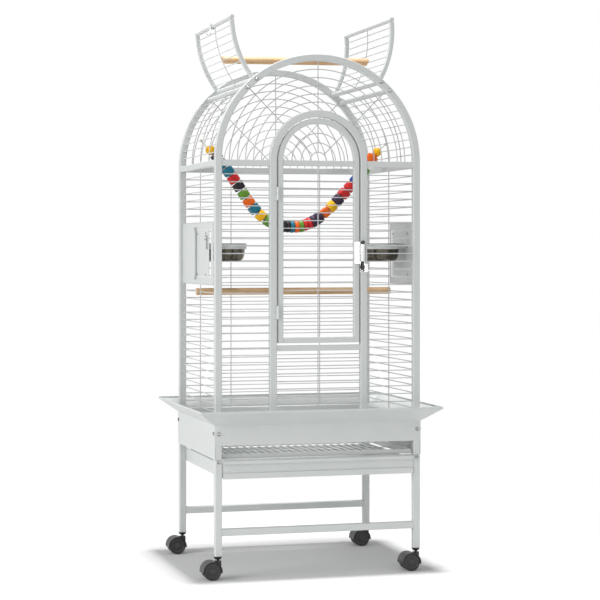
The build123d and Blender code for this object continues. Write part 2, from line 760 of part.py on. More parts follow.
def feeder_door(side, hinge_edge, towards_free, finger_gap):
    """Plate in the window with the hinge barrel along one edge."""
    low = hinge_edge + towards_free * feeder_edge_gap
    high = hinge_edge + towards_free * (feeder_window - finger_gap)
    door_z = (window_z[0] + feeder_edge_gap, window_z[1] - feeder_edge_gap)
    pin_x = side * feeder_pin_x
    pin_y = hinge_edge + towards_free * feeder_pin_inset
    plate = block(span(side * post_x, sheet), sorted((low, high)), door_z)
    barrel = rod((pin_x, pin_y, door_z[0]), (pin_x, pin_y, door_z[1]), feeder_barrel)
    bore = rod((pin_x, pin_y, door_z[0]), (pin_x, pin_y, door_z[1]), feeder_pin + 2 * running_gap)
    return plate + barrel - bore


def bowl_ring(side, bowl_y):
    """Ring under the bowl's rim with two arms to the feeder door."""
    high = bowl_rim_height - bowl_wall - fit_gap
    low = high - bowl_ring_height
    centre = (side * (post_x - bowl_inset), bowl_y)
    inside = bowl_body_diameter / 2 + bowl_ring_gap
    outside = inside + bowl_ring_width
    ring = rod((*centre, low), (*centre, high), 2 * outside)
    for offset in (-1, 1):
        arm_y = span(bowl_y + offset * inside / 2, bowl_arm)
        ring += block(sorted((centre[0], side * (post_x - sheet / 2))), arm_y, (low, high))
    return ring - rod((*centre, low), (*centre, high), 2 * inside)


def bowl(side, bowl_y):
    """Spun steel bowl with a flat rim."""
    top = bowl_rim_height
    foot = bowl_rim_height - bowl_height
    rim = bowl_rim_diameter / 2
    body = bowl_body_diameter / 2
    base = bowl_foot_diameter / 2
    turn = base + (body - base) * 2 / 3
    bend = foot + bowl_height / 5
    outline = Polyline(
        (0, foot),
        (base, foot),
        (turn, bend),
        (body, top - bowl_wall),
        (rim, top - bowl_wall),
        (rim, top),
        (body - bowl_wall, top),
        (turn - bowl_wall, bend + bowl_wall / 2),
        (base - bowl_wall / 2, foot + bowl_wall),
        (0, foot + bowl_wall),
        close=True,
    )
    spun = revolve(Plane.XZ * make_face(outline), Axis.Z)
    return Pos(side * (post_x - bowl_inset), bowl_y, 0) * spun


def feeder_knob(side, knob_y, knob_z):
    """Turn knob with a lever that hangs down in front of the feeder door."""
    seat = side * (plate_face + fit_gap)
    cap = rod((seat, knob_y, knob_z), (seat + side * knob_height, knob_y, knob_z), knob_diameter)
    lever_x = sorted((seat, seat + side * knob_height / 2))
    return cap + block(lever_x, span(knob_y, knob_lever_width), (knob_z - knob_lever, knob_z))


for name, feeder in feeders.items():
    side = feeder["side"]
    hinge = (feeder["hinge_edge"], feeder["towards_free"])
    pin_y = hinge[0] + hinge[1] * feeder_pin_inset
    add("feeder_frame_" + name, feeder_frame(side, feeder["plate"], *hinge))
    pin_ends = [(side * feeder_pin_x, pin_y, z) for z in window_z]
    add("feeder_frame_" + name, rod(*pin_ends, feeder_pin))
    add("feeder_door_" + name, feeder_door(side, *hinge, feeder["finger_gap"]))
    add("feeder_door_" + name, bowl_ring(side, feeder["bowl"]))
    add("bowl_" + name, bowl(side, feeder["bowl"]))
    knob_y = hinge[0] + hinge[1] * (feeder_window - feeder["finger_gap"] - knob_inset)
    add("feeder_knob_" + name, feeder_knob(side, knob_y, window_z[1] - knob_inset))

# Side panel wires, cut where the feeder plates are
for name, feeder in feeders.items():
    x = feeder["side"] * post_x
    inside = feeder["side"] * (post_x - wire)
    plate_y = feeder["plate"]
    for z in wire_levels:
        if plate_low < z < plate_high:
            runs = [(-inner_y, plate_y[0]), (plate_y[1], inner_y)]
        else:
            runs = [(-inner_y, inner_y)]
        for start, end in runs:
            if end - start > wire:
                add("side_wires", rod((x, start, z), (x, end, z)))
    if plate_y[0] < 0 < plate_y[1]:
        uprights = [(wire_low, plate_low + wire), (plate_high - wire, wire_high)]
    else:
        uprights = [(wire_low, wire_high)]
    for low, high in uprights:
        add("side_wires", rod((inside, 0, low), (inside, 0, high)))


def caster_housing():
    """Hood, web, boss and stem of a twin-wheel caster, with its stem on the origin's Z axis."""
    axle = (-caster_trail, 0, axle_height)
    radius = wheel_diameter / 2 + hood_gap
    half = caster_web / 2 + wheel_gap + wheel_width + wheel_gap
    across = Plane(origin=(axle[0], -half, axle[2]), z_dir=(0, 1, 0))
    hood = Solid.make_cylinder(radius + hood_wall, 2 * half, across)
    top = axle_height + radius + hood_wall
    hood &= block(span(axle[0], 4 * radius), (-half, half), (axle_height - hood_below_axle, top))
    boss = rod((0, 0, axle_height), (0, 0, top), boss_diameter)
    room = Solid.make_cylinder(radius, 2 * half, across)
    web_plane = Plane(origin=(axle[0], -caster_web / 2, axle[2]), z_dir=(0, 1, 0))
    web = Solid.make_cylinder(radius + hood_wall / 2, caster_web, web_plane)
    web &= block(span(axle[0], 4 * radius), (-half, half), (axle_height - 2 * hood_below_axle, top))
    axle_hole = Solid.make_cylinder(axle_diameter / 2 + running_gap, caster_web, web_plane)
    stem = rod((0, 0, top - hood_wall), (0, 0, top + stem_length), stem_diameter)
    return hood + boss - room + web - axle_hole + stem


def caster_wheels():
    """Two wheels and the axle between them."""
    start = caster_web / 2 + wheel_gap
    pieces = []
    for face in (-1, 1):
        disc_plane = Plane(origin=(-caster_trail, face * start, axle_height), z_dir=(0, face, 0))
        disc = Solid.make_cylinder(wheel_diameter / 2, wheel_width, disc_plane)
        pieces.append(fillet(disc.edges().filter_by(GeomType.CIRCLE), wheel_rounding))
    axle_ends = [(-caster_trail, y, axle_height) for y in (-start, start)]
    pieces.append(rod(*axle_ends, axle_diameter))
    return pieces


def caster_socket():
    """Flared collar with a plug that fills the leg's end and takes the caster's stem."""
    low = leg_bottom - socket_height
    flare = Pos(0, 0, low + socket_height / 2) * Cone(socket_neck / 2, socket_flare / 2, socket_height)
    plug_size = tube - 2 * tube_wall - 2 * socket_plug_gap
    plug = block(span(0, plug_size), span(0, plug_size), (leg_bottom, leg_bottom + socket_plug_length))
    top = axle_height + wheel_diameter / 2 + hood_gap + hood_wall + stem_length
    bore_top = max(top, leg_bottom) + fit_gap
    return flare + plug - rod((0, 0, low), (0, 0, bore_top), stem_diameter + 2 * running_gap)


housing = caster_housing()
wheel_pair = caster_wheels()
socket = caster_socket()
for name, (side, face) in corners.items():
    place = Pos(side * post_x, face * post_y, 0)
    add("caster_sockets", place * socket)
    add("caster_housing_" + name, place * housing)
    for piece in wheel_pair:
        add("caster_wheels_" + name, place * piece)

# Toy cord: straight runs joined by arcs as large as the runs allow
route = [Vector(x, toy_plane, z) for x, z in toy_route]
arc_radii = []
for before, corner, after in zip(route, route[1:], route[2:]):
    turn = math.radians((corner - before).get_angle(after - corner))
    shorter = min((corner - before).length, (after - corner).length)
    arc_radii.append(arc_share * shorter / math.tan(turn / 2))
cord_path = FilletPolyline(*route, radius=arc_radii)
cord_start = Plane(origin=cord_path @ 0, z_dir=cord_path % 0)
cord_tube = sweep(cord_start * Circle(toy_cord / 2), path=cord_path)
add("toy_cord", cord_tube)
print("toy cord arc radii", [round(r) for r in arc_radii])
section_times_length = math.pi * toy_cord**2 / 4 * cord_path.length
print("toy cord volume", round(cord_tube.volume), "section times length", round(section_times_length))

# Knots round the roof wires hold the cord's ends
tie_wire = roof_angles[2]
for place, end, inward in (
    (180 - tie_wire, cord_path @ 0, cord_path % 0),
    (tie_wire, cord_path @ 1, (cord_path % 1) * -1),
):
    knot = Pos(*(end - inward * toy_tie / 2)) * Sphere(toy_tie / 2)
    roof_point = on_arch(place, arch_radius, toy_plane)
    beside = Vector(0, toy_tie, 0)
    knot -= rod(Vector(*roof_point) - beside, Vector(*roof_point) + beside, wire + 2 * bolt_gap)
    add("toy_hangers", knot)


def along_toy(count):
    """Frame on the cord at a block's place, or between two, with Z along the cord."""
    share = toy_end_share + (1 - 2 * toy_end_share) * count / (toy_blocks - 1)
    return Plane(origin=cord_path @ share, x_dir=(0, 1, 0), z_dir=cord_path % share)


# Discs and cubes on the cord, with a ball at each end and a bare stretch where the chain hangs
for i in range(toy_blocks):
    if i in toy_bare_places:
        continue
    seat = along_toy(i)
    if i in (0, toy_blocks - 1):
        bead = seat * Sphere(toy_ball / 2)
    else:
        bead = seat * Cylinder(toy_disc / 2, toy_block_length)
        if i % 3 == 2:
            bead = seat * Box(toy_cube, toy_cube, toy_block_length)
    add("toy_blocks", bead - seat * Cylinder(toy_cord / 2 + toy_bore_gap, 2 * toy_ball))


def chain_link(top, across):
    """Oval link that hangs from its inner top, in the plane of Z and the given direction."""
    radius = (chain_link_width - chain_wire) / 2
    straight = chain_link_length - chain_link_width
    centre = Vector(*top) - Vector(0, 0, radius - chain_wire / 2)
    low = centre - Vector(0, 0, straight)
    side = Vector(*across)
    normal = Vector(0, 0, 1).cross(side)
    upper_plane = Plane(centre, x_dir=side, z_dir=normal * -1)
    lower_plane = Plane(low, x_dir=side, z_dir=normal)
    link = Solid.make_torus(radius, chain_wire / 2, upper_plane, 0, 360, 180)
    link += Solid.make_torus(radius, chain_wire / 2, lower_plane, 0, 360, 180)
    for face in (-1, 1):
        link += rod(centre + side * radius * face, low + side * radius * face, chain_wire)
    return link


# Plastic chain that hangs from the sloping cord
seat = along_toy(chain_place)
centre_rise = ((toy_cord + chain_wire) / 2 + fit_gap) / abs(seat.z_dir.X)
top = seat.origin + Vector(0, 0, centre_rise - chain_wire / 2)
for i in range(chain_links):
    across = (1, 0, 0) if i % 2 else (0, 1, 0)
    add("toy_hangers", chain_link(top, across))
    top -= Vector(0, 0, chain_link_length - chain_wire - 2 * fit_gap - chain_wire)

os.makedirs("parts", exist_ok=True)
for name, solids in nodes.items():
    export_step(Compound(children=solids), "parts/" + name + ".step")
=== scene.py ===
import math

import bpy
from mathutils import Matrix, Vector


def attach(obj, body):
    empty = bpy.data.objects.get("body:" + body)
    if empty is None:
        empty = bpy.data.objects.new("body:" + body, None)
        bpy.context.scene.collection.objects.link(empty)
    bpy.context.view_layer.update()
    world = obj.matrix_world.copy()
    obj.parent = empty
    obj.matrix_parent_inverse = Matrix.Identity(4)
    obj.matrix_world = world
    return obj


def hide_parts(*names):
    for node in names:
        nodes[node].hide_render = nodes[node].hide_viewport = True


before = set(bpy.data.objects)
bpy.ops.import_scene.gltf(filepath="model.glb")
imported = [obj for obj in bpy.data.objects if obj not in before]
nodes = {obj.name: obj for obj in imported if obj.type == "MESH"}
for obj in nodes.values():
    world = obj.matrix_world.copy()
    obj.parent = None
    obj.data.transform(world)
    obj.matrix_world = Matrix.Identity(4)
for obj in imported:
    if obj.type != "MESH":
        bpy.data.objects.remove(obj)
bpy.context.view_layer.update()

# Camera, fitted to the four legs in the photograph
camera_place = (-1.5215, -5.4585, 0.942)
camera_turn = -15.7
camera_lens = 111.9
camera_drop = -0.0817

# Casters
post_x = 0.300
post_y = 0.2425
wheel_radius = 0.025
wheel_width = 0.021
wheel_gap = 0.0041
caster_trail = 0.020
corners = {
    "front_left": (-1, -1),
    "front_right": (1, -1),
    "back_left": (-1, 1),
    "back_right": (1, 1),
}

# Frame bolts and feeder rivets
outer_x = 0.310
outer_y = 0.2525
spring_height = 1.205
bolt_radius = 0.006
bolt_height = 0.004
apron_bolt_height = 0.417
runner_bolt_height = 0.336
apron_sheet = 0.0015
roof_bolt_angles = (44.0, 51.0)
rivet_radius = 0.0036
rivet_height = 0.0018
plate_half = 0.00075
feeder_rivets = {
    "left": (-1, [(-0.090, 0.994), (-0.090, 0.872), (0.020, 0.994), (0.020, 0.872)]),
    "right": (1, [(-0.172, 0.994), (-0.172, 0.954), (-0.172, 0.872), (-0.034, 0.994)]),
}

# Feed bowls: steel drawn up through (radius, height) rings
bowl_centres = {"bowl_left": (-0.228, -0.030, 0.0), "bowl_right": (0.228, -0.116, 0.0)}
bowl_wall = 0.001
bowl_rings = [
    (0.0410, 0.9120), (0.0455, 0.9127), (0.0495, 0.9150), (0.0528, 0.9190), (0.0551, 0.9245),
    (0.0567, 0.9325), (0.0580, 0.9430), (0.0592, 0.9575), (0.0600, 0.9615), (0.0612, 0.9638),
    (0.0628, 0.9646), (0.0637, 0.9642), (0.0640, 0.9632),
]
foot_inside = 0.0390
foot_outside = 0.0475
foot_tall = 0.0060
foot_rounding = 0.0022
foot_lift = 0.0010

# Toy: the cord's route as in part.py, and the pieces along it
toy_plane = 0.012
cord_diameter = 0.003
toy_route = [
    (-0.2898, 1.2696), (-0.2685, 1.2500), (-0.2450, 1.2265), (-0.2215, 1.1990), (-0.1990, 1.1695),
    (-0.1780, 1.1400), (-0.1580, 1.1100), (-0.1370, 1.0805), (-0.1130, 1.0530), (-0.0830, 1.0310),
    (-0.0470, 1.0185), (-0.0080, 1.0145), (0.0310, 1.0195), (0.0670, 1.0360), (0.0980, 1.0605),
    (0.1260, 1.0865), (0.1520, 1.1145), (0.1775, 1.1415), (0.2020, 1.1680), (0.2240, 1.1960),
    (0.2430, 1.2245), (0.2640, 1.2495), (0.2893, 1.2700),
]
toy_end_share = 0.045
toy_places = 27
bead_bore = 0.0022
ball_radius = 0.015
disc_radius = 0.018
disc_rounding = 0.004
thin_rounding = 0.0028
thin_spread = 1.06
cube_rounding = 0.0032
cube_width = 0.029
bead_length = 0.0250
thin_length = 0.0135
chain_place = 24
chain_links = 5
chain_wire = 0.0024
link_length = 0.022
link_width = 0.011
link_step = 0.0166
tie_points = ((-0.29207, 1.2735), (0.29207, 1.2735))
toy_string = [
    (0, "ball", "yellow"), (1, "disc", "purple"), (2, "cube", "teal"), (3, "disc", "teal"),
    (4, "disc", "red"), (5, "cube", "black"), (6, "disc", "green"), (7, "disc", "orange"),
    (8, "cube", "teal"), (9, "disc", "yellow"), (10, "disc", "green"), (11, "cube", "red"),
    (11.8, "thin", "black"), (12.3, "thin", "black"), (12.8, "thin", "teal"), (13.3, "thin", "orange"),
    (13.8, "thin", "green"), (14.3, "thin", "red"), (14.8, "thin", "red"), (15.3, "thin", "purple"),
    (16, "disc", "purple"), (17, "cube", "orange"), (18, "disc", "yellow"), (19, "disc", "purple"),
    (20, "cube", "red"), (21, "disc", "red"), (22, "disc", "blue"), (23.55, "thin", "green"),
    (25, "disc", "orange"), (26, "ball", "yellow"),
]
paints = {
    "yellow": (0.88, 0.47, 0.004),
    "purple": (0.036, 0.016, 0.046),
    "teal": (0.006, 0.155, 0.235),
    "red": (0.60, 0.016, 0.018),
    "black": (0.012, 0.009, 0.013),
    "green": (0.115, 0.275, 0.022),
    "orange": (0.80, 0.125, 0.004),
    "blue": (0.012, 0.045, 0.30),
}


# Shader groups


def new_group(name, sockets):
    """Shader group with named inputs and outputs. Each socket is (name, in_out, type, value)."""
    tree = bpy.data.node_groups.new(name, "ShaderNodeTree")
    for label, in_out, kind, value in sockets:
        socket = tree.interface.new_socket(label, in_out=in_out, socket_type="NodeSocket" + kind)
        if value is not None:
            socket.default_value = value
    return tree, tree.nodes.new("NodeGroupInput"), tree.nodes.new("NodeGroupOutput")


def place(tree, kind, values=None, **settings):
    """Add a node with its settings and the values of its named sockets."""
    node = tree.nodes.new(kind)
    for name, value in settings.items():
        setattr(node, name, value)
    for name, value in (values or {}).items():
        node.inputs[name].default_value = value
    return node


def mottle_group():
    """Two tones of one finish in soft patches, with the roughness going with them."""
    tree, start, end = new_group(
        "mottled finish",
        [
            ("Vector", "INPUT", "Vector", None),
            ("Scale", "INPUT", "Float", 12.0),
            ("Dark", "INPUT", "Color", None),
            ("Light", "INPUT", "Color", None),
            ("Smooth", "INPUT", "Float", 0.35),
            ("Rough", "INPUT", "Float", 0.5),
            ("Color", "OUTPUT", "Color", None),
            ("Roughness", "OUTPUT", "Float", None),
        ],
    )
    patches = place(tree, "ShaderNodeTexNoise", {"Detail": 5.0, "Roughness": 0.6})
    tones = place(tree, "ShaderNodeMix", data_type="RGBA")
    gloss = place(tree, "ShaderNodeMapRange", {"From Min": 0.3, "From Max": 0.7})
    link = tree.links.new
    link(start.outputs["Vector"], patches.inputs["Vector"])
    link(start.outputs["Scale"], patches.inputs["Scale"])
    link(patches.outputs["Fac"], tones.inputs["Factor"])
    link(start.outputs["Dark"], tones.inputs["A"])
    link(start.outputs["Light"], tones.inputs["B"])
    link(patches.outputs["Fac"], gloss.inputs["Value"])
    link(start.outputs["Smooth"], gloss.inputs["To Min"])
    link(start.outputs["Rough"], gloss.inputs["To Max"])
    link(tones.outputs["Result"], end.inputs["Color"])
    link(gloss.outputs["Result"], end.inputs["Roughness"])
    return tree


def pebble_group():
    """Fine pebbled skin of powder coat, moulded plastic and brushed paint, as a height."""
    tree, start, end = new_group(
        "pebbled skin",
        [
            ("Vector", "INPUT", "Vector", None),
            ("Scale", "INPUT", "Float", 700.0),
            ("Grain", "INPUT", "Float", 2.0),
            ("Height", "OUTPUT", "Float", None),
        ],
    )
    fine = place(tree, "ShaderNodeTexNoise", {"Roughness": 0.5})
    link = tree.links.new
    link(start.outputs["Vector"], fine.inputs["Vector"])
    link(start.outputs["Scale"], fine.inputs["Scale"])
    link(start.outputs["Grain"], fine.inputs["Detail"])
    link(fine.outputs["Fac"], end.inputs["Height"])
    return tree


mottle = mottle_group()
pebble = pebble_group()


# Materials


def new_material(name, shader_values):
    """Material with its shader, its tree and the Object coordinates that its patterns read."""
    material = bpy.data.materials.new(name)
    material.use_nodes = True
    tree = material.node_tree
    shader = tree.nodes["Principled BSDF"]
    for label, value in shader_values.items():
        shader.inputs[label].default_value = value
    where = tree.nodes.new("ShaderNodeTexCoord").outputs["Object"]
    return material, tree, shader, where


def turned(tree, where, scale, centre=(0.0, 0.0, 0.0)):
    """Coordinates centred on a point and stretched."""
    mapping = place(tree, "ShaderNodeMapping")
    mapping.inputs["Scale"].default_value = scale
    mapping.inputs["Location"].default_value = [-c * s for c, s in zip(centre, scale)]
    tree.links.new(where, mapping.inputs["Vector"])
    return mapping.outputs["Vector"]


def use_mottle(tree, shader, where, scale, dark, light, smooth, rough):
    """Two-tone patches into the shader's colour and roughness."""
    patches = place(tree, "ShaderNodeGroup", node_tree=mottle)
    patches.inputs["Scale"].default_value = scale
    patches.inputs["Dark"].default_value = (*dark, 1.0)
    patches.inputs["Light"].default_value = (*light, 1.0)
    patches.inputs["Smooth"].default_value = smooth
    patches.inputs["Rough"].default_value = rough
    tree.links.new(where, patches.inputs["Vector"])
    tree.links.new(patches.outputs["Color"], shader.inputs["Base Color"])
    tree.links.new(patches.outputs["Roughness"], shader.inputs["Roughness"])
    return patches


def use_bump(tree, shader, height, strength, distance):
    """Height into the shader's normal."""
    bump = place(tree, "ShaderNodeBump", {"Strength": strength, "Distance": distance})
    tree.links.new(height, bump.inputs["Height"])
    tree.links.new(bump.outputs["Normal"], shader.inputs["Normal"])


def use_pebble(tree, shader, where, scale, grain, strength, distance):
    """Pebbled skin into the shader's normal."""
    skin = place(tree, "ShaderNodeGroup", node_tree=pebble)
    skin.inputs["Scale"].default_value = scale
    skin.inputs["Grain"].default_value = grain
    tree.links.new(where, skin.inputs["Vector"])
    use_bump(tree, shader, skin.outputs["Height"], strength, distance)


def coated_metal(name, dark, light, smooth, rough, skin_scale):
    """Powder-coated steel: pale grey with a fine orange-peel skin."""
    material, tree, shader, where = new_material(name, {"Specular IOR Level": 0.5})
    use_mottle(tree, shader, where, 14.0, dark, light, smooth, rough)
    use_pebble(tree, shader, where, skin_scale, 2.0, 0.25, 0.0004)
    return material


def plated_metal(name, dark, light, smooth, rough):
    """Bright plated steel with faint smears in its gloss."""
    material, tree, shader, where = new_material(name, {"Metallic": 1.0})
    use_mottle(tree, shader, where, 60.0, dark, light, smooth, rough)
    use_pebble(tree, shader, where, 900.0, 2.0, 0.06, 0.0002)
    return material


def spun_steel(name, centre):
    """Stainless steel turned on a lathe, with fine rings about the bowl's middle."""
    material, tree, shader, where = new_material(name, {"Metallic": 1.0})
    # Both tones are far darker than bare stainless steel. This is painted reflection: the dark that the
    # polished bowl mirrors is put into its colour, in soft patches.
    use_mottle(tree, shader, where, 45.0, (0.03, 0.024, 0.017), (0.20, 0.18, 0.15), 0.08, 0.18)
    rings = place(
        tree,
        "ShaderNodeTexWave",
        {"Scale": 260.0, "Distortion": 0.6, "Detail": 2.0, "Detail Scale": 3.0},
        wave_type="RINGS",
        rings_direction="Z",
    )
    tree.links.new(turned(tree, where, (1.0, 1.0, 1.0), centre), rings.inputs["Vector"])
    use_bump(tree, shader, rings.outputs["Fac"], 0.12, 0.0002)
    return material


def dowel_wood(name, centre):
    """Pale sanded dowel with long grain and darker pores along it."""
    material, tree, shader, where = new_material(name, {"Specular IOR Level": 0.35})
    along = turned(tree, where, (5.0, 130.0, 130.0), centre)
    grain = place(
        tree,
        "ShaderNodeTexNoise",
        {"Scale": 1.0, "Detail": 7.0, "Roughness": 0.65, "Distortion": 0.6},
    )
    tones = place(tree, "ShaderNodeValToRGB")
    tones.color_ramp.elements[0].position = 0.32
    tones.color_ramp.elements[0].color = (0.47, 0.27, 0.13, 1.0)
    tones.color_ramp.elements[1].position = 0.68
    tones.color_ramp.elements[1].color = (0.74, 0.52, 0.31, 1.0)
    middle = tones.color_ramp.elements.new(0.5)
    middle.color = (0.64, 0.42, 0.23, 1.0)
    gloss = place(tree, "ShaderNodeMapRange", {"To Min": 0.62, "To Max": 0.48})
    link = tree.links.new
    link(along, grain.inputs["Vector"])
    link(grain.outputs["Fac"], tones.inputs["Fac"])
    link(tones.outputs["Color"], shader.inputs["Base Color"])
    link(grain.outputs["Fac"], gloss.inputs["Value"])
    link(gloss.outputs["Result"], shader.inputs["Roughness"])
    use_bump(tree, shader, grain.outputs["Fac"], 0.35, 0.0006)
    return material


def moulded_plastic(name, dark, light, smooth, rough, skin_scale):
    """Black moulded plastic with a fine textured skin."""
    material, tree, shader, where = new_material(name, {"Specular IOR Level": 0.45})
    use_mottle(tree, shader, where, 30.0, dark, light, smooth, rough)
    use_pebble(tree, shader, where, skin_scale, 3.0, 0.3, 0.0004)
    return material


def painted_wood(name, paint):
    """Toy block in bright paint, thin enough that the grain lifts it."""
    material, tree, shader, where = new_material(name, {"Specular IOR Level": 0.25})
    thin = [0.78 * c for c in paint]
    thick = [min(1.0, 1.12 * c + 0.01) for c in paint]
    use_mottle(tree, shader, where, 95.0, thin, thick, 0.28, 0.46)
    use_pebble(tree, shader, turned(tree, where, (1.0, 0.25, 1.0)), 420.0, 4.0, 0.3, 0.0005)
    return material


def twisted_cotton(name):
    """Cotton cord with its twist as slanting bands."""
    material, tree, shader, where = new_material(name, {"Specular IOR Level": 0.2, "Sheen Weight": 0.3})
    use_mottle(tree, shader, where, 300.0, (0.50, 0.46, 0.40), (0.74, 0.70, 0.63), 0.75, 0.92)
    twist = place(tree, "ShaderNodeTexWave", {"Scale": 190.0, "Distortion": 0.8}, bands_direction="DIAGONAL")
    tree.links.new(where, twist.inputs["Vector"])
    use_bump(tree, shader, twist.outputs["Fac"], 0.6, 0.0006)
    return material


def clear_plastic(name):
    """Clear plastic chain, faintly smeared."""
    values = {"Transmission Weight": 1.0, "IOR": 1.49, "Base Color": (0.72, 0.74, 0.78, 1.0)}
    material, tree, shader, where = new_material(name, values)
    smears = place(tree, "ShaderNodeTexNoise", {"Scale": 160.0, "Detail": 3.0})
    gloss = place(tree, "ShaderNodeMapRange", {"To Min": 0.03, "To Max": 0.16})
    tree.links.new(where, smears.inputs["Vector"])
    tree.links.new(smears.outputs["Fac"], gloss.inputs["Value"])
    tree.links.new(gloss.outputs["Result"], shader.inputs["Roughness"])
    return material


powder_coat = coated_metal("powder_coat", (0.50, 0.525, 0.52), (0.575, 0.595, 0.59), 0.34, 0.48, 900.0)
coated_wire = coated_metal("coated_wire", (0.47, 0.485, 0.48), (0.54, 0.555, 0.55), 0.30, 0.44, 1200.0)
chrome = plated_metal("chrome", (0.40, 0.40, 0.41), (0.56, 0.56, 0.56), 0.08, 0.20)
bowl_steel = {name: spun_steel("spun_" + name, centre) for name, centre in bowl_centres.items()}
perch_wood = {
    "top_perch": dowel_wood("perch_wood_top", (0.0, -0.018, 1.53)),
    "lower_perch": dowel_wood("perch_wood_lower", (0.0, 0.018, 0.82)),
}
black_plastic = moulded_plastic(
    "black_plastic", (0.010, 0.010, 0.010), (0.026, 0.026, 0.025), 0.34, 0.52, 1100.0
)
wheel_plastic = moulded_plastic(
    "wheel_plastic", (0.016, 0.016, 0.016), (0.040, 0.040, 0.038), 0.42, 0.62, 800.0
)
cotton = twisted_cotton("twisted_cotton")
clear_chain = clear_plastic("clear_chain")

own_finish = {**bowl_steel, **perch_wood}


def finish_for(node):
    """Material of a CAD node, by its name."""
    if node in own_finish:
        return own_finish[node]
    if node.startswith(("latch_", "frame_bolts", "flap_hook", "feeder_knob")):
        return black_plastic if node == "latch_bolt" else chrome
    if node.startswith("caster_wheels"):
        return wheel_plastic
    if node.startswith("caster_"):
        return black_plastic
    if node.endswith("_wires") or node == "grate":
        return coated_wire
    return powder_coat


for node_name, node in nodes.items():
    node.data.materials.clear()
    node.data.materials.append(finish_for(node_name))


# Modelling by hand


def deselect():
    bpy.ops.object.select_all(action="DESELECT")


def newest(name):
    """Name the piece that the last operator added."""
    piece = bpy.context.active_object
    piece.name = name
    piece.data.name = name
    return piece


def edit(piece, mode="FACE"):
    """Open a piece in edit mode with nothing selected."""
    deselect()
    piece.select_set(True)
    bpy.context.view_layer.objects.active = piece
    bpy.ops.object.mode_set(mode="EDIT")
    bpy.ops.mesh.select_mode(type=mode)
    bpy.ops.mesh.select_all(action="DESELECT")


def pick(piece, kind, test):
    """Select the vertices, edges or faces that pass a test on their place, and return to edit mode."""
    bpy.ops.object.mode_set(mode="OBJECT")
    for item in getattr(piece.data, kind):
        item.select = test(item)
    bpy.ops.object.mode_set(mode="EDIT")


def close(piece, angle=35.0):
    """Merge doubles, point the faces outwards, and smooth all but the sharp edges."""
    bpy.ops.mesh.select_all(action="SELECT")
    bpy.ops.mesh.remove_doubles(threshold=1e-5)
    bpy.ops.mesh.normals_make_consistent(inside=False)
    bpy.ops.object.mode_set(mode="OBJECT")
    bpy.ops.object.shade_smooth_by_angle(angle=math.radians(angle))


def settle(piece):
    """Put a piece's place into its mesh."""
    deselect()
    piece.select_set(True)
    bpy.context.view_layer.objects.active = piece
    bpy.ops.object.transform_apply(location=True, rotation=True, scale=True)


def copy_to(piece, name, matrix):
    """Copy of a piece with its own mesh, set in its place."""
    copy = piece.copy()
    copy.data = piece.data.copy()
    copy.name = name
    copy.data.name = name
    bpy.context.scene.collection.objects.link(copy)
    copy.data.transform(matrix)
    return copy


def join(pieces, name):
    """One piece of several."""
    deselect()
    for piece in pieces:
        piece.select_set(True)
    bpy.context.view_layer.objects.active = pieces[0]
    if len(pieces) > 1:
        bpy.ops.object.join()
    return newest(name)


def dress(piece, material, body, slot, *replaced):
    """Give a piece its material and body, and hide the CAD nodes that it stands for. The slot is not used.
    """
    piece.data.materials.clear()
    piece.data.materials.append(material)
    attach(piece, body)
    if replaced:
        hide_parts(*replaced)
    return piece


# Toy cord


def toy_cord():
    """Cord on one smooth spline through the route's points, and the same line as plain points."""
    curve = bpy.data.curves.new("hanging_cord", "CURVE")
    curve.dimensions = "3D"
    curve.resolution_u = 12
    line = curve.splines.new("NURBS")
    line.points.add(len(toy_route) - 1)
    for point, (x, z) in zip(line.points, toy_route):
        point.co = (x, toy_plane, z, 1.0)
    line.order_u = 3
    line.use_endpoint_u = True
    piece = bpy.data.objects.new("hanging_cord", curve)
    bpy.context.scene.collection.objects.link(piece)
    bare = bpy.data.meshes.new_from_object(piece)
    points = [vertex.co.copy() for vertex in bare.vertices]
    bpy.data.meshes.remove(bare)
    curve.bevel_depth = cord_diameter / 2
    curve.bevel_resolution = 4
    curve.use_fill_caps = True
    return piece, points


cord_piece, cord_points = toy_cord()
cord_runs = [(b - a).length for a, b in zip(cord_points, cord_points[1:])]


def along_cord(count):
    """Frame on the cord at a block's place, or between two, with Z along the cord."""
    share = toy_end_share + (1 - 2 * toy_end_share) * count / (toy_places - 1)
    left = share * sum(cord_runs)
    for start, end, run in zip(cord_points, cord_points[1:], cord_runs):
        if left <= run:
            break
        left -= run
    z_axis = (end - start).normalized()
    x_axis = Vector((0, 1, 0))
    y_axis = z_axis.cross(x_axis)
    turn = Matrix((x_axis, y_axis, z_axis)).transposed().to_4x4()
    return Matrix.Translation(start + z_axis * left) @ turn


def turned_ring(name, inside, outside, length, rounding, steps=32):
    """Ring turned about Z: a section with its outer corners rounded, spun round the axis."""
    deselect()
    wall = outside - inside
    middle = (inside + wall / 2, 0, 0)
    bpy.ops.mesh.primitive_plane_add(size=1.0, location=middle, rotation=(math.pi / 2, 0, 0))
    ring = newest(name)
    ring.scale = (wall, length, 1.0)
    settle(ring)
    edit(ring, "VERT")
    pick(ring, "vertices", lambda v: v.co.x > inside + wall / 2)
    bpy.ops.mesh.bevel(offset=rounding, segments=4, affect="VERTICES")
    bpy.ops.mesh.select_all(action="SELECT")
    bpy.ops.mesh.delete(type="ONLY_FACE")
    bpy.ops.mesh.select_all(action="SELECT")
    bpy.ops.mesh.spin(steps=steps, angle=2 * math.pi, center=(0, 0, 0), axis=(0, 0, 1))
    close(ring)
    return ring


